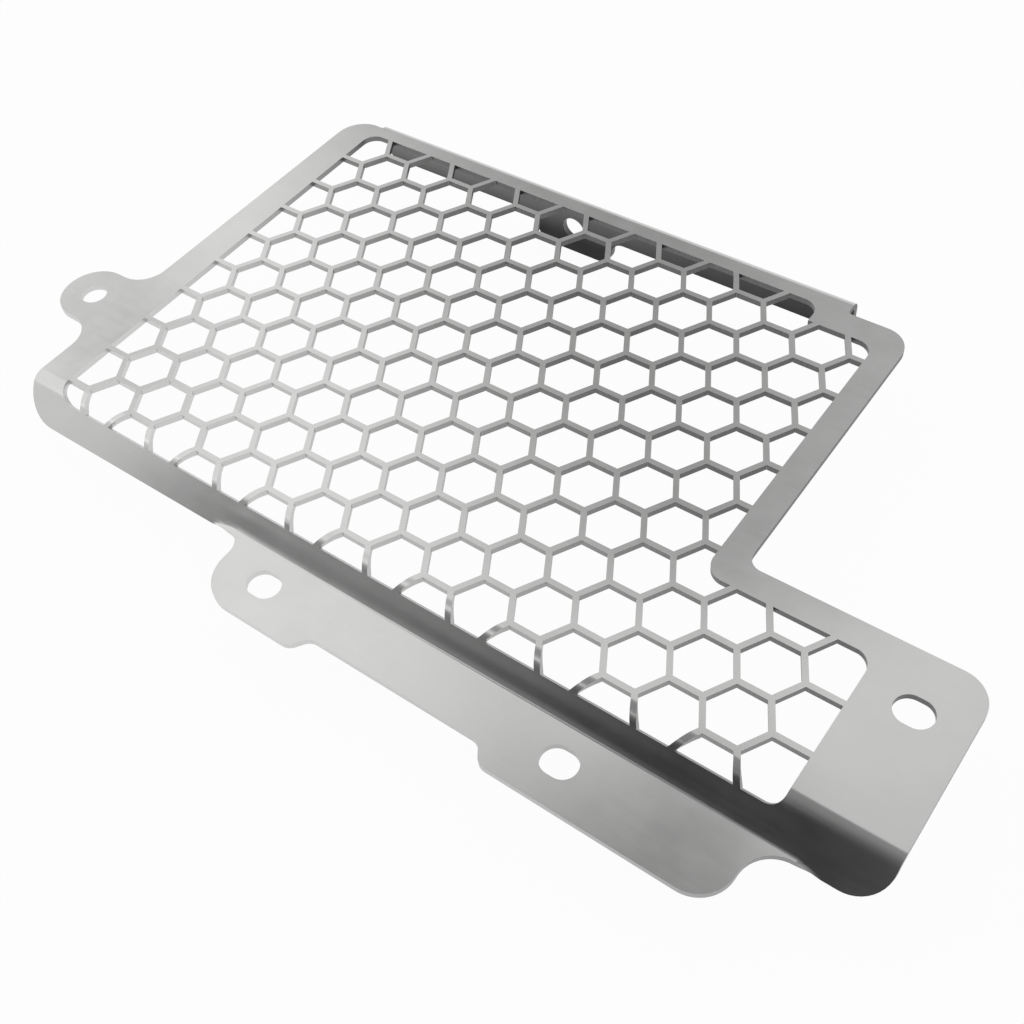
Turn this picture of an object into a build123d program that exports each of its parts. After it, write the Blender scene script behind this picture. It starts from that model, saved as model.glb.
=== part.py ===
from build123d import *
import math
import os

# Motorcycle radiator guard: one laser-cut stainless sheet, folded three times.
# Everything is drawn on the flat pattern (x along the guard, y across it) and then laid on
# the folds: flat panel, front fold down, sloping web, fold back to level, front flange, and
# the back fold with its hanging flange and tab. Millimetres and degrees, +Z up, panel level.

# Sheet and grille
SHEET = 1.5              # sheet thickness
PITCH = 12.5             # distance between neighbouring cell centres
BAR = 1.3                # width of a grille bar
LEAST_CELL = 0.06        # cut cells smaller than this share of a whole one are left solid
STRAIGHT_RUN = 2.0       # cells whose far corners are this near the right plate run straight on to it
GRILLE_X = 54.7          # left edge of the panel to the cell centre at the pattern's origin
GRILLE_Y = 46.6          # start of the back fold to that cell centre

# Panel outline
PANEL_LENGTH = 221.6     # left edge to right edge
PANEL_DEPTH = 116.6      # start of the front fold to start of the back fold
PLATE_LENGTH = 52.6      # right plate, past the right edge above it
PLATE_DEPTH = 38.1       # right plate, from the start of the front fold
BACK_SETBACK = 2.9       # plain back edge, set in from the start of the back fold
CORNER_BACK_LEFT = 7.5
CORNER_BACK_RIGHT = 6.3
CORNER_NOTCH_IN = 3.2
CORNER_NOTCH_OUT = 7.0
RELIEF_R = 1.0           # inside corner where the back fold ends

# Solid rims around the grille window
RIM_LEFT = 8.6
RIM_RIGHT = 21.9
RIM_UPPER_RIGHT = 6.3
RIM_NOTCH = 6.2
RIM_BACK = 3.5           # to the start of the back fold
RIM_SETBACK = 6.8        # to the plain back edge
STEP_INSET = 6.6         # end of the back fold to the step between those two rims
WINDOW_PAST_FOLD = 4.35  # how far the window runs past the start of the front fold
WINDOW_R = 3.8
WINDOW_NOTCH_R = 4.4
WINDOW_FRONT_LEFT_R = 6.0
WINDOW_FRONT_RIGHT_R = 3.0

# Left ear, and the right plate's slot level with it
EAR_REACH = 9.3          # left edge to hole centre
EAR_RISE = 25.2          # start of the front fold to hole centre
EAR_R = 8.6
EAR_ROOT_R = 7.2
EAR_HOLE_D = 6.5
PLATE_SLOT_EDGE = 10.9   # right edge to slot centre
SLOT_LENGTH = 8.0
SLOT_WIDTH = 6.5

# Front fold, web and flange
FOLD_ANGLE = 40.0
FRONT_OUTER_R = 6.0
FLANGE_DROP = 5.5        # panel top face to flange top face
HEEL_R = 1.0             # inside radius of the fold back to level
LIP_FLAT = 0.4           # level strip between that fold and the flange's outline
LIP_RUN = 5.0            # length over which the fold fades into the plain edge
WEB_LEFT_R = 11.0
WEB_RIGHT_R = 7.4
FLANGE_INSET_LEFT = 73.8
FLANGE_INSET_RIGHT = 22.7
FLANGE_REACH = 24.9      # start of the front fold to the flange's front edge, folded
WAIST_DEPTH = 4.0
WAIST_INSET_LEFT = 28.3  # end of the flange to the middle of the waist's step
WAIST_INSET_RIGHT = 51.5
WAIST_RUN = 2.8          # length of the step
WAIST_R = 3.0
FLANGE_LEFT_R = 9.4
FLANGE_RIGHT_R = 7.5
ROOT_LEFT_R = 4.3
ROOT_RIGHT_R = 7.2
FLANGE_SLOT_EDGE = 8.8   # front edge to slot centres
FLANGE_SLOT_LEFT = 12.4  # end of the flange to slot centre
FLANGE_SLOT_RIGHT = 37.7

# Back fold, flange and tab
BACK_OUTER_R = 2.5
BACK_INSET_LEFT = 9.7
BACK_INSET_RIGHT = 16.4
BACK_HEIGHT = 10.0       # panel top face to flange edge
BACK_CORNER_R = 3.0
TAB_INSET = 63.0         # left end of the flange to the tab's middle
TAB_WIDTH = 24.0
TAB_HEIGHT = 18.0        # panel top face to tab edge
TAB_R = 5.0
TAB_ROOT_R = 3.5
TAB_HOLE_D = 6.5
TAB_HOLE_DEPTH = 10.5    # panel top face to hole centre

# Cutters
REACH = 10.0             # how far cutters stand out past the sheet's outline
SKIN = 1.0               # how far cutters stand out past the sheet's faces
OVERRUN = 0.3            # how far cutters run past the ends of the front fold
LEAST_CUT = 0.2          # narrower cutters are left out
CUT_SPANS = 5            # spans of a cutter that follows the front fold

# Places on the flat pattern
PANEL_LEFT = -GRILLE_X
PANEL_RIGHT = PANEL_LEFT + PANEL_LENGTH
UPPER_RIGHT = PANEL_RIGHT - PLATE_LENGTH
BACK_FOLD_Y = GRILLE_Y
BACK_RIGHT_Y = BACK_FOLD_Y - BACK_SETBACK
FRONT_FOLD_Y = BACK_FOLD_Y - PANEL_DEPTH
NOTCH_Y = FRONT_FOLD_Y + PLATE_DEPTH
BACK_LEFT = PANEL_LEFT + BACK_INSET_LEFT
BACK_RIGHT = UPPER_RIGHT - BACK_INSET_RIGHT
WINDOW_LEFT = PANEL_LEFT + RIM_LEFT
WINDOW_RIGHT = PANEL_RIGHT - RIM_RIGHT
WINDOW_UPPER_RIGHT = UPPER_RIGHT - RIM_UPPER_RIGHT
WINDOW_STEP_X = BACK_RIGHT - STEP_INSET
WINDOW_BACK_Y = BACK_FOLD_Y - RIM_BACK
WINDOW_STEP_Y = BACK_RIGHT_Y - RIM_SETBACK
WINDOW_NOTCH_Y = NOTCH_Y - RIM_NOTCH
WINDOW_FRONT_Y = FRONT_FOLD_Y - WINDOW_PAST_FOLD
EAR_X = PANEL_LEFT - EAR_REACH
EAR_Y = FRONT_FOLD_Y + EAR_RISE
PLATE_SLOT_X = PANEL_RIGHT - PLATE_SLOT_EDGE
FLANGE_LEFT = PANEL_LEFT + FLANGE_INSET_LEFT
FLANGE_RIGHT = PANEL_RIGHT - FLANGE_INSET_RIGHT
FLANGE_FRONT_Y = FRONT_FOLD_Y - FLANGE_REACH
FLANGE_WAIST_Y = FLANGE_FRONT_Y + WAIST_DEPTH
WAIST_LEFT = FLANGE_LEFT + WAIST_INSET_LEFT
WAIST_RIGHT = FLANGE_RIGHT - WAIST_INSET_RIGHT
FLANGE_SLOT_X = (FLANGE_LEFT + FLANGE_SLOT_LEFT, FLANGE_RIGHT - FLANGE_SLOT_RIGHT)
FLANGE_SLOT_Y = FLANGE_FRONT_Y + FLANGE_SLOT_EDGE
TAB_X = BACK_LEFT + TAB_INSET

# The front fold and the fold back to level
ANGLE = math.radians(FOLD_ANGLE)
SIN = math.sin(ANGLE)
COS = math.cos(ANGLE)
FRONT_INNER_R = FRONT_OUTER_R - SHEET
FRONT_MID_R = FRONT_OUTER_R - SHEET / 2
# Lengths along the flat pattern, counted from the start of the front fold
ARC_END = FRONT_MID_R * ANGLE
ARC_DROP = FRONT_OUTER_R * (1 - COS)
HEEL_REACH = HEEL_R * math.tan(ANGLE / 2)
WEB_LENGTH = (FLANGE_DROP - ARC_DROP) / SIN - HEEL_REACH
HEEL_START = ARC_END + WEB_LENGTH
LIP = (HEEL_R + SHEET / 2) * ANGLE + LIP_FLAT
EDGE_END = HEEL_START + LIP
# Folded places of the top face
ARC_END_Y = FRONT_FOLD_Y - FRONT_OUTER_R * SIN
HEEL_Y = ARC_END_Y - (WEB_LENGTH + HEEL_REACH) * COS - HEEL_REACH
HEEL_Z = -FLANGE_DROP + HEEL_R
ROOT_Y = HEEL_Y - LIP_FLAT


def rounded(corners):
    """Flat face from (x, y, radius) corners, each corner turned into a tangent arc."""
    starts = []
    ends = []
    mids = []
    count = len(corners)
    for i in range(count):
        here = Vector(corners[i][0], corners[i][1])
        before = Vector(corners[i - 1][0], corners[i - 1][1])
        after = Vector(corners[(i + 1) % count][0], corners[(i + 1) % count][1])
        back = (before - here).normalized()
        ahead = (after - here).normalized()
        radius = corners[i][2]
        if radius <= 0:
            starts.append(here)
            ends.append(here)
            mids.append(None)
            continue
        half = math.acos(max(-1.0, min(1.0, back.dot(ahead)))) / 2
        reach = radius / math.tan(half)
        centre = here + (back + ahead).normalized() * (radius / math.sin(half))
        starts.append(here + back * reach)
        ends.append(here + ahead * reach)
        mids.append(centre + (here - centre).normalized() * radius)
    edges = []
    for i in range(count):
        if mids[i] is not None:
            edges.append(Edge.make_three_point_arc(starts[i], mids[i], ends[i]))
        nxt = starts[(i + 1) % count]
        if (nxt - ends[i]).length > 1e-6:
            edges.append(Edge.make_line(ends[i], nxt))
    face = Face(Wire(edges))
    return face if face.normal_at().Z > 0 else -face


def one_face(shape):
    """The single face of a flat boolean result."""
    return max(shape.faces(), key=lambda face: face.area)


def slot(x, y, length, width):
    """Round-ended slot along x."""
    side = length / 2
    end = width / 2
    return rounded([(x - side, y - end, end), (x + side, y - end, end),
                    (x + side, y + end, end), (x - side, y + end, end)])


def disc(x, y, diameter):
    return Face(Wire(Edge.make_circle(diameter / 2))).moved(Location((x, y, 0)))


def plate(face, plane=Plane.XY):
    """Sheet solid below a face drawn on the top side of the sheet."""
    return Solid.extrude(plane.from_local_coords(face), plane.z_dir * -SHEET)


def fold(start, end, centre_y, centre_z, inner, outer, left, right):
    """Part of a tube wall along x; angles from straight up, turning to the front."""
    def spot(radius, angle):
        return Vector(left, centre_y - radius * math.sin(angle), centre_z + radius * math.cos(angle))

    middle = (start + end) / 2
    wire = Wire([
        Edge.make_three_point_arc(spot(outer, start), spot(outer, middle), spot(outer, end)),
        Edge.make_line(spot(outer, end), spot(inner, end)),
        Edge.make_three_point_arc(spot(inner, end), spot(inner, middle), spot(inner, start)),
        Edge.make_line(spot(inner, start), spot(outer, start)),
    ])
    return Solid.extrude(Face(wire), Vector(right - left, 0, 0))


# Flat pattern of the grille
HALF_CELL = (PITCH - BAR) / 2
CELL_R = HALF_CELL * 2 / math.sqrt(3)
COLUMN = PITCH * math.sqrt(3) / 2

window = rounded([
    (WINDOW_LEFT, WINDOW_FRONT_Y, WINDOW_FRONT_LEFT_R),
    (WINDOW_RIGHT, WINDOW_FRONT_Y, WINDOW_FRONT_RIGHT_R),
    (WINDOW_RIGHT, WINDOW_NOTCH_Y, WINDOW_R),
    (WINDOW_UPPER_RIGHT, WINDOW_NOTCH_Y, WINDOW_NOTCH_R),
    (WINDOW_UPPER_RIGHT, WINDOW_STEP_Y, WINDOW_R),
    (WINDOW_STEP_X, WINDOW_STEP_Y, 0),
    (WINDOW_STEP_X, WINDOW_BACK_Y, WINDOW_R),
    (WINDOW_LEFT, WINDOW_BACK_Y, WINDOW_R),
])


def cell_centres():
    """Cell centres whose cell can reach into the window."""
    first = math.floor((WINDOW_LEFT - CELL_R) / COLUMN)
    last = math.ceil((WINDOW_RIGHT + CELL_R) / COLUMN)
    for column in range(first, last + 1):
        shift = 0.5 * (column % 2)
        low = math.floor((WINDOW_FRONT_Y - HALF_CELL) / PITCH - shift)
        high = math.ceil((WINDOW_BACK_Y + HALF_CELL) / PITCH - shift)
        for row in range(low, high + 1):
            yield column * COLUMN, (row + shift) * PITCH


def cell_face(x, y):
    """One cell; beside the right plate its level sides run straight on to the plate."""
    corners = [(x + CELL_R * math.cos(math.radians(a)), y + CELL_R * math.sin(math.radians(a)), 0)
               for a in range(0, 360, 60)]
    if 0 < WINDOW_RIGHT - corners[1][0] < STRAIGHT_RUN:
        end = WINDOW_RIGHT + REACH
        corners = [(end, y + HALF_CELL, 0), *corners[2:5], (end, y - HALF_CELL, 0)]
    return rounded(corners)


whole = cell_face(0, 0).area
cells = []
kept_centres = []
for cx, cy in cell_centres():
    cut = cell_face(cx, cy) & window
    if cut is None:
        continue
    pieces = [face for face in cut.faces() if face.area > LEAST_CELL * whole]
    if pieces:
        cells.extend(pieces)
        kept_centres.append((cx, cy))

# Flat panel with its ear
panel = rounded([
    (PANEL_LEFT, FRONT_FOLD_Y, 0),
    (PANEL_RIGHT, FRONT_FOLD_Y, 0),
    (PANEL_RIGHT, NOTCH_Y, CORNER_NOTCH_OUT),
    (UPPER_RIGHT, NOTCH_Y, CORNER_NOTCH_IN),
    (UPPER_RIGHT, BACK_RIGHT_Y, CORNER_BACK_RIGHT),
    (BACK_RIGHT, BACK_RIGHT_Y, RELIEF_R),
    (BACK_RIGHT, BACK_FOLD_Y, 0),
    (PANEL_LEFT, BACK_FOLD_Y, CORNER_BACK_LEFT),
    (PANEL_LEFT, EAR_Y + EAR_R, EAR_ROOT_R),
    (EAR_X - EAR_R, EAR_Y + EAR_R, EAR_R),
    (EAR_X - EAR_R, EAR_Y - EAR_R, EAR_R),
    (PANEL_LEFT, EAR_Y - EAR_R, EAR_ROOT_R),
])
openings = cells + [disc(EAR_X, EAR_Y, EAR_HOLE_D), slot(PLATE_SLOT_X, EAR_Y, SLOT_LENGTH, SLOT_WIDTH)]
guard = plate(one_face(panel.cut(*openings)))


# Front fold: the grille bars run on through it
def web_side(along, edge_x, radius, inward):
    """x of the web's side edge at a pattern length, its lower corner rounded."""
    past = along - (EDGE_END - radius)
    if past <= 0:
        return edge_x
    return edge_x + inward * (radius - math.sqrt(max(radius * radius - past * past, 0)))


def window_side(along, edge_x, radius, inward):
    """x of the window's side edge at a pattern length, its front corner rounded."""
    past = along - (FRONT_FOLD_Y - WINDOW_FRONT_Y - radius)
    if past <= 0:
        return edge_x
    past = min(past, radius)
    return edge_x + inward * (radius - math.sqrt(max(radius * radius - past * past, 0)))


def wedge(left_at, right_at, start, end):
    """Cutter through the front fold between two side edges given along the pattern."""
    inner_start = max(start, 0)
    inner_end = min(end, ARC_END)
    span = (inner_end - inner_start) / CUT_SPANS
    levels = [inner_start + span * i for i in range(CUT_SPANS)] + [inner_end]
    if start < 0:
        levels.insert(0, start)
    if end > ARC_END:
        levels.append(end)
    wires = []
    for along in levels:
        angle = along / FRONT_MID_R
        up = Vector(0, -math.sin(angle), math.cos(angle))
        axis = Vector(0, FRONT_FOLD_Y, -FRONT_OUTER_R)
        near = axis + up * (FRONT_INNER_R - SKIN)
        far = axis + up * (FRONT_OUTER_R + SKIN)
        left = Vector(left_at(along), 0, 0)
        right = Vector(right_at(along), 0, 0)
        wires.append(Wire.make_polygon([near + left, near + right, far + right, far + left], close=True))
    return Solid.make_loft(wires)


left_reach = PANEL_LEFT
right_reach = PANEL_RIGHT
cutters = []
if EDGE_END - WEB_LEFT_R < ARC_END:
    left_reach -= REACH / 2
    cutters.append(wedge(lambda s: PANEL_LEFT - REACH, lambda s: web_side(s, PANEL_LEFT, WEB_LEFT_R, 1),
                         -OVERRUN, ARC_END + OVERRUN))
if EDGE_END - WEB_RIGHT_R < ARC_END:
    right_reach += REACH / 2
    cutters.append(wedge(lambda s: web_side(s, PANEL_RIGHT, WEB_RIGHT_R, -1), lambda s: PANEL_RIGHT + REACH,
                         -OVERRUN, ARC_END + OVERRUN))
bend = fold(0, ANGLE, FRONT_FOLD_Y, -FRONT_OUTER_R, FRONT_INNER_R, FRONT_OUTER_R, left_reach, right_reach)
for cx, cy in kept_centres:
    top = max(-OVERRUN, FRONT_FOLD_Y - cy - HALF_CELL)
    low = min(ARC_END + OVERRUN, FRONT_FOLD_Y - cy + HALF_CELL, FRONT_FOLD_Y - WINDOW_FRONT_Y)
    if low - top < OVERRUN:
        continue

    def left_at(s, cx=cx, cy=cy):
        reach = CELL_R - abs(FRONT_FOLD_Y - s - cy) / math.sqrt(3)
        return max(cx - reach, window_side(s, WINDOW_LEFT, WINDOW_FRONT_LEFT_R, 1))

    def right_at(s, cx=cx, cy=cy):
        reach = CELL_R - abs(FRONT_FOLD_Y - s - cy) / math.sqrt(3)
        return min(cx + reach, window_side(s, WINDOW_RIGHT, WINDOW_FRONT_RIGHT_R, -1))

    widest = FRONT_FOLD_Y - cy
    stops = [top, low]
    if top + LEAST_CUT < widest < low - LEAST_CUT:
        stops = [top, widest, low]
    for start, end in zip(stops, stops[1:]):
        if min(right_at(start) - left_at(start), right_at(end) - left_at(end)) > LEAST_CUT:
            cutters.append(wedge(left_at, right_at, start, end))
bend = bend.cut(*cutters)

# Sloping web, with the plain edges left and right of the flange
root_left = FLANGE_LEFT - ROOT_LEFT_R
root_right = FLANGE_RIGHT + ROOT_RIGHT_R
web = rounded([
    (PANEL_LEFT, FRONT_FOLD_Y - EDGE_END, WEB_LEFT_R),
    (PANEL_RIGHT, FRONT_FOLD_Y - EDGE_END, WEB_RIGHT_R),
    (PANEL_RIGHT, FRONT_FOLD_Y + REACH, 0),
    (PANEL_LEFT, FRONT_FOLD_Y + REACH, 0),
])
above = rounded([
    (PANEL_LEFT - REACH, FRONT_FOLD_Y - ARC_END, 0),
    (PANEL_RIGHT + REACH, FRONT_FOLD_Y - ARC_END, 0),
    (PANEL_RIGHT + REACH, FRONT_FOLD_Y + 2 * REACH, 0),
    (PANEL_LEFT - REACH, FRONT_FOLD_Y + 2 * REACH, 0),
])
below = rounded([
    (root_left - LIP_RUN, FRONT_FOLD_Y - EDGE_END - REACH, 0),
    (root_right + LIP_RUN, FRONT_FOLD_Y - EDGE_END - REACH, 0),
    (root_right + LIP_RUN, FRONT_FOLD_Y - HEEL_START, 0),
    (root_left - LIP_RUN, FRONT_FOLD_Y - HEEL_START, 0),
])
web = one_face(web.cut(above, below, *cells))
web_plane = Plane(origin=(0, ARC_END_Y, -ARC_DROP), x_dir=(1, 0, 0), z_dir=(0, -SIN, COS))
web_solid = plate(web.moved(Location((0, ARC_END - FRONT_FOLD_Y, 0))), web_plane)

# Fold back to level, fading out into the plain edges
heel = fold(math.pi, math.pi + ANGLE, HEEL_Y, HEEL_Z, HEEL_R, HEEL_R + SHEET, root_left, root_right)


def lip_wire(x, bent):
    """Section of the edge strip past the web: folded level, or straight on."""
    if bent:
        def spot(radius, angle):
            return Vector(x, HEEL_Y + radius * math.sin(angle), HEEL_Z - radius * math.cos(angle))

        top = [spot(HEEL_R, ANGLE), spot(HEEL_R, ANGLE / 2), spot(HEEL_R, 0)]
        low = [spot(HEEL_R + SHEET, ANGLE), spot(HEEL_R + SHEET, ANGLE / 2), spot(HEEL_R + SHEET, 0)]
        step = Vector(0, -LIP_FLAT, 0)
        tips = [top[2] + step, low[2] + step]
        return Wire([
            Edge.make_line(low[0], top[0]),
            Edge.make_three_point_arc(*top),
            Edge.make_line(top[2], tips[0]),
            Edge.make_line(tips[0], tips[1]),
            Edge.make_line(tips[1], low[2]),
            Edge.make_three_point_arc(low[2], low[1], low[0]),
        ])
    start = Vector(x, HEEL_Y + HEEL_R * SIN, HEEL_Z - HEEL_R * COS)
    down = Vector(0, SIN, -COS) * SHEET
    run = Vector(0, -COS, -SIN)
    turn = LIP - LIP_FLAT
    return Wire.make_polygon([start + down, start, start + run * turn, start + run * LIP,
                              start + run * LIP + down, start + run * turn + down], close=True)


fades = [
    Solid.make_loft([lip_wire(root_left - LIP_RUN, False), lip_wire(root_left, True)], ruled=True),
    Solid.make_loft([lip_wire(root_right, True), lip_wire(root_right + LIP_RUN, False)], ruled=True),
]

# Front flange with its two ears, waist and slots
flange = rounded([
    (root_left, HEEL_Y, 0),
    (root_left, ROOT_Y, 0),
    (FLANGE_LEFT, ROOT_Y, ROOT_LEFT_R),
    (FLANGE_LEFT, FLANGE_FRONT_Y, FLANGE_LEFT_R),
    (WAIST_LEFT - WAIST_RUN / 2, FLANGE_FRONT_Y, WAIST_R),
    (WAIST_LEFT + WAIST_RUN / 2, FLANGE_WAIST_Y, WAIST_R),
    (WAIST_RIGHT - WAIST_RUN / 2, FLANGE_WAIST_Y, WAIST_R),
    (WAIST_RIGHT + WAIST_RUN / 2, FLANGE_FRONT_Y, WAIST_R),
    (FLANGE_RIGHT, FLANGE_FRONT_Y, FLANGE_RIGHT_R),
    (FLANGE_RIGHT, ROOT_Y, ROOT_RIGHT_R),
    (root_right, ROOT_Y, 0),
    (root_right, HEEL_Y, 0),
])
flange = one_face(flange.cut(*[slot(x, FLANGE_SLOT_Y, SLOT_LENGTH, SLOT_WIDTH) for x in FLANGE_SLOT_X]))
flange_solid = plate(flange, Plane(origin=(0, 0, -FLANGE_DROP), x_dir=(1, 0, 0), z_dir=(0, 0, 1)))

# Back fold, hanging flange and tab; the flange is drawn from its outer side
back_fold = fold(-math.pi / 2, 0, BACK_FOLD_Y, -BACK_OUTER_R, BACK_OUTER_R - SHEET, BACK_OUTER_R,
                 BACK_LEFT, BACK_RIGHT)
tab_left = TAB_X - TAB_WIDTH / 2
tab_right = TAB_X + TAB_WIDTH / 2
hanging = rounded([
    (-BACK_RIGHT, -BACK_OUTER_R, 0),
    (-BACK_RIGHT, -BACK_HEIGHT, BACK_CORNER_R),
    (-tab_right, -BACK_HEIGHT, TAB_ROOT_R),
    (-tab_right, -TAB_HEIGHT, TAB_R),
    (-tab_left, -TAB_HEIGHT, TAB_R),
    (-tab_left, -BACK_HEIGHT, TAB_ROOT_R),
    (-BACK_LEFT, -BACK_HEIGHT, BACK_CORNER_R),
    (-BACK_LEFT, -BACK_OUTER_R, 0),
])
hanging = one_face(hanging.cut(disc(-TAB_X, -TAB_HOLE_DEPTH, TAB_HOLE_D)))
back_plane = Plane(origin=(0, BACK_FOLD_Y + BACK_OUTER_R, 0), x_dir=(-1, 0, 0), z_dir=(0, 1, 0))
hanging_solid = plate(hanging, back_plane)

# One sheet, set down with the middle of its box over the origin
guard = guard.fuse(bend, web_solid, heel, *fades, flange_solid, back_fold, hanging_solid).clean()
box = guard.bounding_box()
guard = guard.moved(Location((-(box.min.X + box.max.X) / 2, -(box.min.Y + box.max.Y) / 2, -box.min.Z)))
guard.label = "guard_sheet"

os.makedirs("parts", exist_ok=True)
export_step(guard, "parts/guard_sheet.step")
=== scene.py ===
import math

import bpy
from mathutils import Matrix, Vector


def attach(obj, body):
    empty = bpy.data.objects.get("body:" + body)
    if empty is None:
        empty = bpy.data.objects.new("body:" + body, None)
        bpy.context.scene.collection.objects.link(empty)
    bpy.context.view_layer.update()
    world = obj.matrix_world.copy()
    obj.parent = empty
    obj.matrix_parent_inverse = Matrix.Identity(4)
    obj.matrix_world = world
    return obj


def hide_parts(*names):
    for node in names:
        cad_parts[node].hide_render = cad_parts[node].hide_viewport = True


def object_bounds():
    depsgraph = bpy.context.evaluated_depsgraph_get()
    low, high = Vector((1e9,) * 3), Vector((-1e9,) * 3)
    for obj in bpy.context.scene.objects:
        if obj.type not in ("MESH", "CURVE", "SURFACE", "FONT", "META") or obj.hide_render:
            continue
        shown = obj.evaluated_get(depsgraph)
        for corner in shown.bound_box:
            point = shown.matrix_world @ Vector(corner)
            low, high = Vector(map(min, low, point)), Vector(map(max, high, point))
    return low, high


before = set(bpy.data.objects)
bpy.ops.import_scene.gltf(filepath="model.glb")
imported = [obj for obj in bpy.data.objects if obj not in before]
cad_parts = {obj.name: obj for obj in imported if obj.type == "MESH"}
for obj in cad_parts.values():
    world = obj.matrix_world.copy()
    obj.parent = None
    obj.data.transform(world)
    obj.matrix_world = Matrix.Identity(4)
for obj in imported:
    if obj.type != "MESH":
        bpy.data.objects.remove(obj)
cad_low, cad_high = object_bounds()

# Sheet, in metres
SHEET_NODE = "guard_sheet"
WELD_DISTANCE = 2e-6
FLAT_ANGLE = math.radians(0.4)     # faces that meet at less than this become one
SHARP_ANGLE = math.radians(40)     # edges sharper than this are deburred
SHADE_ANGLE = math.radians(35)     # edges sharper than this stay sharp in the shading
EDGE_BREAK = 0.00022               # width of the deburred edges
EDGE_SEGMENTS = 2
FACE_WEIGHT = 100                  # the largest faces at a corner decide its shading
SIDE_SHARE = 0.2                   # a smooth patch with this share of the area is a side of the sheet
OUTER_SIDE, INNER_SIDE, CUT_WALL, BROKEN_EDGE = range(4)   # the order of the finishes on the sheet

# Front fold and the sloping web below it, in metres
FOLD_AXIS = Vector((0, -0.0471, 0.012))   # a point of the axis, which runs along X
FOLD_ANGLE = math.radians(40)
FOLD_RADII = (0.006, 0.0045)       # outer and inner side
FOLD_STEPS = 10
FOLD_SNAP = 0.00015                # points this near a side of the fold are set on it
FOLD_ENDS = (-0.0955, 0.0955)      # along X: no grille bars run through the fold past these
SHEET = FOLD_RADII[0] - FOLD_RADII[1]
WEB_DOWN = Vector((0, -math.cos(FOLD_ANGLE), -math.sin(FOLD_ANGLE)))
WEB_OUT = Vector((0, -math.sin(FOLD_ANGLE), math.cos(FOLD_ANGLE)))
WEB_WIDTH = 0.006                  # from the fold to the flange's heel
WEB_STEPS = 10
WEB_SWELL = 0.0001                 # the web bulges below the fold and dips above the heel by this
SWELL_SPAN = (-0.036, -0.030, 0.099, 0.105)  # along X: starts, is full, is full, has faded

# All finishes: noise scales are per metre, bumps are a depth in metres and a strength
NOISE_ROUGHNESS = 0.55
CLOUD_DETAIL = 5.0
GRAIN_DETAIL = 3.0
LINE_DETAIL = 2.0
MIDDLE_SPAN = (0.3, 0.7)           # most of a noise lies between these
FULL_SPAN = (0.0, 1.0)

# Outer side
SATIN_GREYS = ((0.56, 0.56, 0.555), (0.61, 0.61, 0.605))
SATIN_ROUGHNESS = (0.18, 0.21)
SATIN_SPAN = (0.25, 0.75)
SATIN_CLOUD = 120.0
ROLLING_LINES = 900.0
ROLLING_STRETCH = (0.06, 1, 1)     # the lines run along X
ROLLING_SHARE = 0.25               # the rest is cloud
ROLLING_BUMP = (0.00001, 0.06)

# Inner side: its greys are painted shade, darker than the outer side
INNER_GREYS = ((0.012, 0.012, 0.012), (0.21, 0.21, 0.208))
INNER_ROUGHNESS = 0.46
INNER_CLOUD = 90.0
INNER_CLOUD_SHARE = 0.15           # the rest is the painted shade
INNER_GRAIN = 2600.0
INNER_BUMP = (0.00003, 0.3)
TAB_SPAN = (0.003, 0.0135)         # along Z: painted shade, darkest at the back tab, none above it
FLANGE_SPAN = (0.055, 0.066)       # along Y: the back flange begins
PLATE_SPAN = (-0.09, 0.05)         # along X: painted shade darkens the back flange towards the plate's end
PLATE_SHADE = 0.8                  # how far the painted shade darkens it there

# Cut walls: the spread of their greys is painted light and shade
WALL_GREYS = ((0.09, 0.09, 0.09), (0.72, 0.72, 0.715))
WALL_ROUGHNESS = 0.40
PAINTED_LIGHT_SIDE = (-0.48, -0.88, 0.0)   # painted light and shade: lighter towards the ear's front corner
PAINTED_LIGHT_SPAN = (-0.035, 0.075)
LASER_MARKS = 5200.0
LASER_STRETCH = (1, 1, 0.07)       # the marks run through the sheet
LASER_SHARE = 0.16                 # the rest is the painted light and shade
LASER_BUMP = (0.00004, 0.4)

# Deburred edges: their greys, brighter than the sheet, are a painted highlight
EDGE_GREYS = ((0.70, 0.70, 0.695), (0.84, 0.84, 0.835))
EDGE_ROUGHNESS = 0.20
EDGE_TONE_SCALE = 700.0

# Camera, as the photograph was taken
CAMERA_PLACE = (0.13649, -0.15385, 0.22859)
CAMERA_TURN = (39.53, 4.677, 36.08)
CAMERA_LENS = 46.26
CAMERA_SENSOR = 36.0
CAMERA_CLIP = (0.01, 50.0)

# Floor and softboxes; each box has its place, aim, width and height, and power
FLOOR_SIZE = 8.0
FLOOR_COLOUR = 0.9
FLOOR_GLOW = 0.96                  # share of the floor's white that takes no shadow
SOFTBOXES = {
    "front_box": ((-0.775, -0.597, 0.50), (0.0, 0.0, 0.0), (0.26, 0.61), 0.32),
    "back_box": ((0.02, 0.62, 0.83), (0.05, 0.0, 0.0), (0.23, 0.66), 0.28),
    "low_box": ((-0.18, 0.73, 0.70), (0.05, 0.0, 0.0), (0.22, 0.34), 0.035),
    "high_box": ((-0.18, 0.43, 0.86), (0.07, -0.03, 0.018), (0.25, 0.14), 0.063),
}

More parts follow.
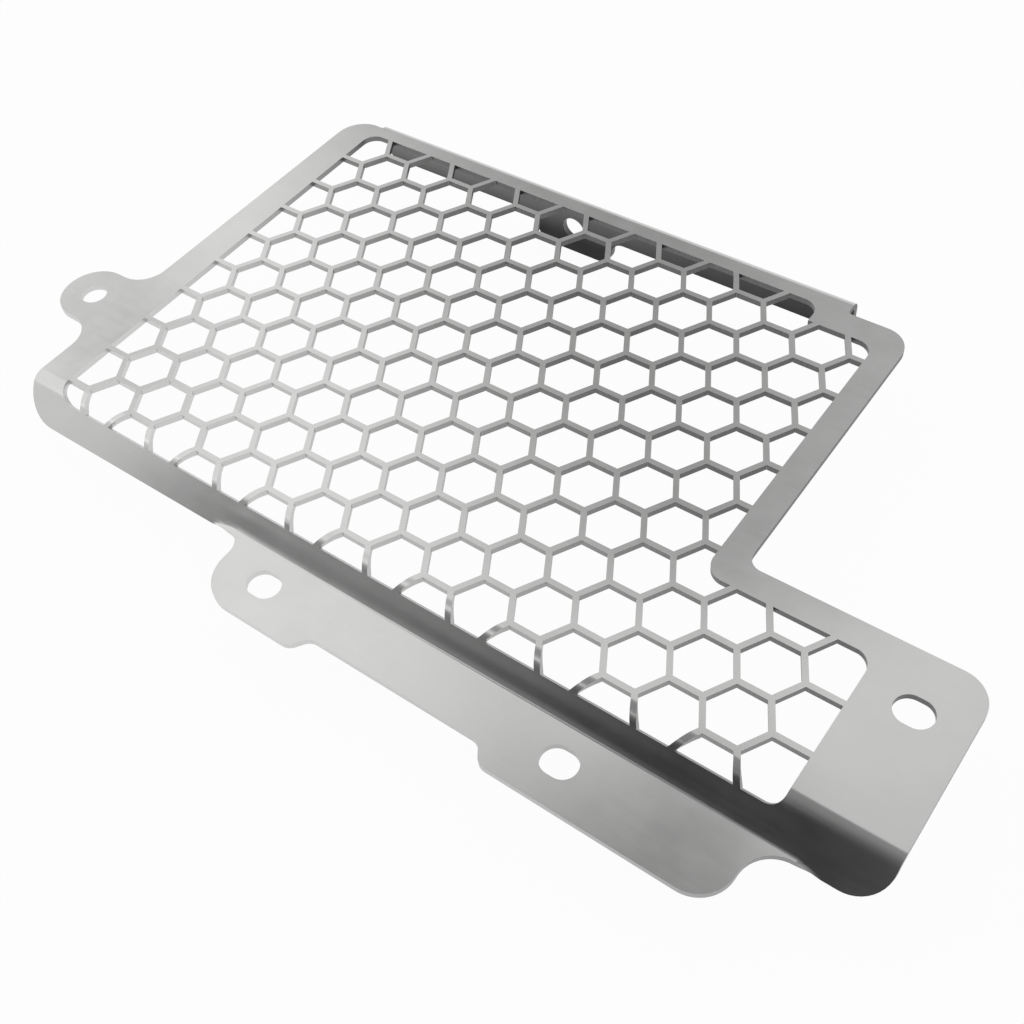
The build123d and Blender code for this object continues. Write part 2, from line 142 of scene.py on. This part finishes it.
# Room: each part lies over those before it, with its grey and the directions along which it fades in.
# With a direction go the measures along it at which the part begins and is full.
ROOM_GREY = 0.33
UP = (0.0, 0.0, 1.0)
RIGHT = (1.0, 0.0, 0.0)
BACK = (0.0, 1.0, 0.0)
LOW_BACK = (0.0, 0.5, -0.87)
FRONT_LEFT = (-0.73, -0.69, 0.30)
DULL_PLACE = (-0.684, 0.371, 0.628)
DARK_FROM = (0.90, -0.44, 0.0)
DARK_TO = (-1.0, -0.035, 0.0)
ROOM_PARTS = {
    "paler right side": (0.80, {RIGHT: (0.1, 0.6)}),
    "wall behind, below the ceiling": (0.43, {BACK: (-0.1, 0.3), UP: (0.90, 0.84)}),
    "pale wall low down behind": (0.95, {LOW_BACK: (-0.20, 0.05)}),
    "soft light on the left": (1.17, {FRONT_LEFT: (0.10, 0.33), BACK: (-0.53, -0.34), UP: (0.91, 0.86)}),
    "dull patch in that light": (0.50, {DULL_PLACE: (0.9975, 0.9998)}),
    "dark gap in front": (0.045, {DARK_FROM: (-0.14, 0.12), DARK_TO: (-0.05, 0.09)}),
    "white rim above the floor": (1.0, {UP: (0.20, 0.02)}),
}


def only(piece):
    """Selects one piece and makes it active."""
    bpy.ops.object.select_all(action="DESELECT")
    piece.select_set(True)
    bpy.context.view_layer.objects.active = piece


def value_node(tree, kind, operation, *inputs):
    """A maths node with its inputs set to numbers or linked to sockets."""
    node = tree.nodes.new(kind)
    node.operation = operation
    for socket, given in zip(node.inputs, inputs):
        if isinstance(given, bpy.types.NodeSocket):
            tree.links.new(given, socket)
        else:
            socket.default_value = given
    return node


def maths(tree, operation, *inputs):
    return value_node(tree, "ShaderNodeMath", operation, *inputs).outputs[0]


def along(tree, place, direction):
    """The measure of a place along a direction."""
    return value_node(tree, "ShaderNodeVectorMath", "DOT_PRODUCT", place, direction).outputs["Value"]


def eased(tree, value, start, end, low=0.0, high=1.0):
    """A value turned smoothly from low at start to high at end."""
    node = tree.nodes.new("ShaderNodeMapRange")
    node.interpolation_type = "SMOOTHSTEP"
    tree.links.new(value, node.inputs["Value"])
    node.inputs["From Min"].default_value = start
    node.inputs["From Max"].default_value = end
    node.inputs["To Min"].default_value = low
    node.inputs["To Max"].default_value = high
    return node.outputs["Result"]


def mixture(tree, share, part, rest):
    """A share of one value, with the other value for the rest."""
    return maths(tree, "MULTIPLY_ADD", part, share, maths(tree, "MULTIPLY", rest, 1 - share))


def noise(tree, coordinates, scale, detail, stretch=(1, 1, 1)):
    """Noise on the piece's own coordinates, stretched along its axes."""
    mapping = tree.nodes.new("ShaderNodeMapping")
    mapping.inputs["Scale"].default_value = stretch
    tree.links.new(coordinates, mapping.inputs["Vector"])
    node = tree.nodes.new("ShaderNodeTexNoise")
    node.inputs["Scale"].default_value = scale
    node.inputs["Detail"].default_value = detail
    node.inputs["Roughness"].default_value = NOISE_ROUGHNESS
    tree.links.new(mapping.outputs["Vector"], node.inputs["Vector"])
    return node.outputs["Fac"]


def steel(name):
    """A new metal material with its tree, shader and object coordinates."""
    material = bpy.data.materials.new(name)
    material.use_nodes = True
    tree = material.node_tree
    shader = tree.nodes["Principled BSDF"]
    shader.inputs["Metallic"].default_value = 1.0
    coordinates = tree.nodes.new("ShaderNodeTexCoord").outputs["Object"]
    return material, tree, shader, coordinates


def tinted(tree, shader, value, greys, span):
    """Base colour between two greys, as the value goes through its span."""
    ramp = tree.nodes.new("ShaderNodeValToRGB")
    for element, position, grey in zip(ramp.color_ramp.elements, span, greys):
        element.position = position
        element.color = (*grey, 1)
    tree.links.new(value, ramp.inputs["Fac"])
    tree.links.new(ramp.outputs["Color"], shader.inputs["Base Color"])


def bumped(tree, shader, height, depth, strength):
    bump = tree.nodes.new("ShaderNodeBump")
    bump.inputs["Distance"].default_value = depth
    bump.inputs["Strength"].default_value = strength
    tree.links.new(height, bump.inputs["Height"])
    tree.links.new(bump.outputs["Normal"], shader.inputs["Normal"])


def satin_side():
    """Mill finish of the outer side: cloudy, with faint rolling lines along the sheet."""
    material, tree, shader, coordinates = steel("satin_side")
    cloud = noise(tree, coordinates, SATIN_CLOUD, CLOUD_DETAIL)
    lines = noise(tree, coordinates, ROLLING_LINES, LINE_DETAIL, ROLLING_STRETCH)
    mixed = mixture(tree, ROLLING_SHARE, lines, cloud)
    tinted(tree, shader, mixed, SATIN_GREYS, MIDDLE_SPAN)
    tree.links.new(eased(tree, mixed, *SATIN_SPAN, *SATIN_ROUGHNESS), shader.inputs["Roughness"])
    bumped(tree, shader, lines, *ROLLING_BUMP)
    return material


def inner_side():
    """The side towards the radiator: dull, with dark greys that are painted shade, darkest on the back
    flange and its tab.
    """
    material, tree, shader, coordinates = steel("inner_side")
    split = tree.nodes.new("ShaderNodeSeparateXYZ")
    tree.links.new(coordinates, split.inputs["Vector"])
    # painted shade: darker on the back flange towards the plate's end, and darkest at the back tab
    on_flange = eased(tree, split.outputs["Y"], *FLANGE_SPAN)
    near_plate = eased(tree, split.outputs["X"], *PLATE_SPAN, 0.0, PLATE_SHADE)
    outside_plate_shade = maths(tree, "SUBTRACT", 1.0, maths(tree, "MULTIPLY", on_flange, near_plate))
    painted_shading = maths(tree, "MULTIPLY", eased(tree, split.outputs["Z"], *TAB_SPAN), outside_plate_shade)
    cloud = noise(tree, coordinates, INNER_CLOUD, CLOUD_DETAIL)
    tinted(tree, shader, mixture(tree, INNER_CLOUD_SHARE, cloud, painted_shading), INNER_GREYS, FULL_SPAN)
    shader.inputs["Roughness"].default_value = INNER_ROUGHNESS
    bumped(tree, shader, noise(tree, coordinates, INNER_GRAIN, GRAIN_DETAIL), *INNER_BUMP)
    return material


def cut_wall():
    """Laser-cut walls: dull, with painted light and shade that make them lighter towards the ear's front
    corner, and fine marks across the sheet.
    """
    material, tree, shader, coordinates = steel("cut_wall")
    marks = noise(tree, coordinates, LASER_MARKS, LINE_DETAIL, LASER_STRETCH)
    # painted light and shade: lighter towards the ear's front corner, darker away from it
    painted_shading = eased(tree, along(tree, coordinates, PAINTED_LIGHT_SIDE), *PAINTED_LIGHT_SPAN)
    tinted(tree, shader, mixture(tree, LASER_SHARE, marks, painted_shading), WALL_GREYS, FULL_SPAN)
    shader.inputs["Roughness"].default_value = WALL_ROUGHNESS
    bumped(tree, shader, marks, *LASER_BUMP)
    return material


def painted_highlight_edge():
    """Deburred edges, with a painted highlight that makes them brighter than the sheet."""
    material, tree, shader, coordinates = steel("painted_highlight_edge")
    edge_tone = noise(tree, coordinates, EDGE_TONE_SCALE, GRAIN_DETAIL)
    tinted(tree, shader, edge_tone, EDGE_GREYS, MIDDLE_SPAN)
    shader.inputs["Roughness"].default_value = EDGE_ROUGHNESS
    return material


def smooth_patches(mesh):
    """Patch number of each face: faces that meet at less than the sharp angle share one."""
    faces_at = {}
    for face in mesh.polygons:
        for key in face.edge_keys:
            faces_at.setdefault(key, []).append(face.index)
    next_to = [[] for _ in mesh.polygons]
    for shared in faces_at.values():
        if len(shared) == 2:
            one, other = shared
            if mesh.polygons[one].normal.angle(mesh.polygons[other].normal, 0) < SHARP_ANGLE:
                next_to[one].append(other)
                next_to[other].append(one)
    patch = [-1] * len(mesh.polygons)
    count = 0
    for start in range(len(patch)):
        if patch[start] >= 0:
            continue
        patch[start] = count
        waiting = [start]
        while waiting:
            for near in next_to[waiting.pop()]:
                if patch[near] < 0:
                    patch[near] = count
                    waiting.append(near)
        count += 1
    return patch, count


def paint_sides(mesh):
    """Finish of each face: the outer side, the inner side, or the cut walls between them."""
    patch, count = smooth_patches(mesh)
    areas = [0.0] * count
    upward = [0.0] * count
    for face in mesh.polygons:
        areas[patch[face.index]] += face.area
        upward[patch[face.index]] += face.area * face.normal.z
    side_area = SIDE_SHARE * sum(areas)
    for face in mesh.polygons:
        here = patch[face.index]
        if areas[here] < side_area:
            face.material_index = CUT_WALL
        else:
            face.material_index = OUTER_SIDE if upward[here] > 0 else INNER_SIDE


def cut_along(place, normal):
    """New edges where a plane crosses the selected faces."""
    bpy.ops.mesh.bisect(plane_co=place, plane_no=normal)


def select_faces(mesh, wanted):
    """Selects the faces for which wanted is true of their centre, for the next edit."""
    bpy.ops.object.mode_set(mode="OBJECT")
    mesh.polygons.foreach_set("select", [wanted(face.center) for face in mesh.polygons])
    bpy.ops.object.mode_set(mode="EDIT")


def cut_fold_and_web(mesh):
    """Closer rows of points on the front fold's plain ends and on the web below it."""
    bpy.ops.mesh.select_mode(type="FACE")
    for step in range(1, FOLD_STEPS):
        angle = FOLD_ANGLE * step / FOLD_STEPS
        select_faces(mesh, lambda centre: not FOLD_ENDS[0] < centre.x < FOLD_ENDS[1])
        cut_along(FOLD_AXIS, (0, -math.cos(angle), -math.sin(angle)))
    web_top = FOLD_AXIS + FOLD_RADII[0] * WEB_OUT
    for step in range(1, WEB_STEPS + 1):
        bpy.ops.mesh.select_all(action="SELECT")
        cut_along(web_top + WEB_DOWN * (WEB_WIDTH * step / WEB_STEPS), WEB_DOWN)
    for x in SWELL_SPAN:
        select_faces(mesh, lambda centre: (centre - FOLD_AXIS).dot(WEB_DOWN) > 0)
        cut_along((x, 0, 0), (1, 0, 0))


def fold_arm(point):
    """From the fold's axis straight out to a point."""
    arm = point.co - FOLD_AXIS
    arm.x = 0
    return arm


def swell_share(x):
    """0 at the web's plain ends, 1 along the flange."""
    begin, full, still_full, end = SWELL_SPAN
    return max(0.0, min(1.0, (x - begin) / (full - begin), (end - x) / (end - still_full)))


def round_fold_and_web(mesh):
    """Sets the fold's points on its true radii and gives the web its slight swell."""
    for point in mesh.vertices:
        arm = fold_arm(point)
        down = arm.dot(WEB_DOWN)
        height = arm.dot(WEB_OUT)
        if arm.z > 0 and arm.y < 0 and down < 0:
            for radius in FOLD_RADII:
                if abs(arm.length - radius) < FOLD_SNAP:
                    point.co += arm * (radius / arm.length - 1)
        elif 0 <= down <= WEB_WIDTH and abs(height - FOLD_RADII[0] + SHEET / 2) < SHEET / 2 + FOLD_SNAP:
            wave = math.sin(2 * math.pi * (down / WEB_WIDTH) ** 2)
            point.co += WEB_OUT * (WEB_SWELL * swell_share(point.co.x) * wave)


def shade_fold_round(mesh):
    """Turns the shading of the fold's outer side to its true radius."""
    normals = [Vector(corner.vector) for corner in mesh.corner_normals]
    for face in mesh.polygons:
        if face.material_index != OUTER_SIDE:
            continue
        for corner, index in zip(face.loop_indices, face.vertices):
            arm = fold_arm(mesh.vertices[index])
            turn = math.atan2(-arm.y, arm.z)
            if 0 <= turn <= FOLD_ANGLE and abs(arm.length - FOLD_RADII[0]) < FOLD_SNAP:
                normals[corner] = arm.normalized()
    mesh.normals_split_custom_set(normals)


def deburred_guard():
    """The folded sheet with welded faces and a small break along every cut edge."""
    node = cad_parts[SHEET_NODE]
    mesh = node.data.copy()
    mesh.materials.clear()
    for finish in (satin_side(), inner_side(), cut_wall(), painted_highlight_edge()):
        mesh.materials.append(finish)
    guard = bpy.data.objects.new("guard", mesh)
    bpy.context.scene.collection.objects.link(guard)
    only(guard)
    bpy.ops.object.mode_set(mode="EDIT")
    bpy.ops.mesh.select_all(action="SELECT")
    bpy.ops.mesh.remove_doubles(threshold=WELD_DISTANCE)
    bpy.ops.mesh.dissolve_limited(angle_limit=FLAT_ANGLE)
    cut_fold_and_web(mesh)
    bpy.ops.object.mode_set(mode="OBJECT")
    round_fold_and_web(mesh)
    paint_sides(mesh)
    edge_break = guard.modifiers.new("edge_break", "BEVEL")
    edge_break.width = EDGE_BREAK
    edge_break.segments = EDGE_SEGMENTS
    edge_break.limit_method = "ANGLE"
    edge_break.angle_limit = SHARP_ANGLE
    edge_break.material = BROKEN_EDGE
    edge_break.use_clamp_overlap = True
    bpy.ops.object.modifier_apply(modifier=edge_break.name)
    bpy.ops.object.shade_smooth_by_angle(angle=SHADE_ANGLE)
    even = guard.modifiers.new("even_shading", "WEIGHTED_NORMAL")
    even.keep_sharp = True
    even.weight = FACE_WEIGHT
    bpy.ops.object.modifier_apply(modifier=even.name)
    shade_fold_round(mesh)
    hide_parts(SHEET_NODE)
    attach(guard, "root")


def pale_floor():
    """White floor that keeps a faint shadow."""
    bpy.ops.mesh.primitive_plane_add(size=FLOOR_SIZE, location=(0, 0, cad_low.z))
    floor = bpy.context.object
    floor.name = "floor"
    material = bpy.data.materials.new("floor_white")
    material.use_nodes = True
    tree = material.node_tree
    tree.nodes.clear()
    matt = tree.nodes.new("ShaderNodeBsdfDiffuse")
    matt.inputs["Color"].default_value = (FLOOR_COLOUR, FLOOR_COLOUR, FLOOR_COLOUR, 1)
    glow = tree.nodes.new("ShaderNodeEmission")
    path = tree.nodes.new("ShaderNodeLightPath")
    seen = maths(tree, "MAXIMUM", path.outputs["Is Camera Ray"], path.outputs["Is Glossy Ray"])
    seen = maths(tree, "MAXIMUM", seen, path.outputs["Is Transmission Ray"])
    mix = tree.nodes.new("ShaderNodeMixShader")
    tree.links.new(maths(tree, "MULTIPLY", seen, FLOOR_GLOW), mix.inputs["Fac"])
    tree.links.new(matt.outputs[0], mix.inputs[1])
    tree.links.new(glow.outputs[0], mix.inputs[2])
    output = tree.nodes.new("ShaderNodeOutputMaterial")
    tree.links.new(mix.outputs[0], output.inputs["Surface"])
    floor.data.materials.append(material)


def softbox(name, place, aim, size, power):
    """A rectangular lamp that points from its place towards its aim."""
    lamp = bpy.data.lights.new(name, "AREA")
    lamp.shape = "RECTANGLE"
    lamp.size, lamp.size_y = size
    lamp.energy = power
    holder = bpy.data.objects.new(name, lamp)
    holder.location = place
    holder.rotation_euler = (Vector(aim) - Vector(place)).to_track_quat("-Z", "Y").to_euler()
    bpy.context.scene.collection.objects.link(holder)


def studio_room():
    """Grey room, paler on the right and behind, with a soft light on the left and a dark gap in front."""
    world = bpy.data.worlds.new("room")
    bpy.context.scene.world = world
    world.use_nodes = True
    tree = world.node_tree
    direction = tree.nodes.new("ShaderNodeTexCoord").outputs["Generated"]
    level = ROOM_GREY
    for grey, fades in ROOM_PARTS.values():
        share = 1.0
        for side, span in fades.items():
            share = maths(tree, "MULTIPLY", share, eased(tree, along(tree, direction, side), *span))
        level = maths(tree, "MULTIPLY_ADD", share, maths(tree, "SUBTRACT", grey, level), level)
    tree.links.new(level, tree.nodes["Background"].inputs["Color"])


def photograph_camera():
    """The camera that took the photograph."""
    camera = bpy.data.cameras.new("camera")
    camera.lens = CAMERA_LENS
    camera.sensor_width = CAMERA_SENSOR
    camera.clip_start, camera.clip_end = CAMERA_CLIP
    holder = bpy.data.objects.new("camera", camera)
    holder.location = CAMERA_PLACE
    holder.rotation_euler = [math.radians(turn) for turn in CAMERA_TURN]
    bpy.context.scene.collection.objects.link(holder)
    bpy.context.scene.camera = holder


deburred_guard()
pale_floor()
studio_room()
for box_name, (box_place, box_aim, box_size, box_power) in SOFTBOXES.items():
    softbox(box_name, box_place, box_aim, box_size, box_power)
photograph_camera()
bpy.context.scene.view_settings.view_transform = "Standard"
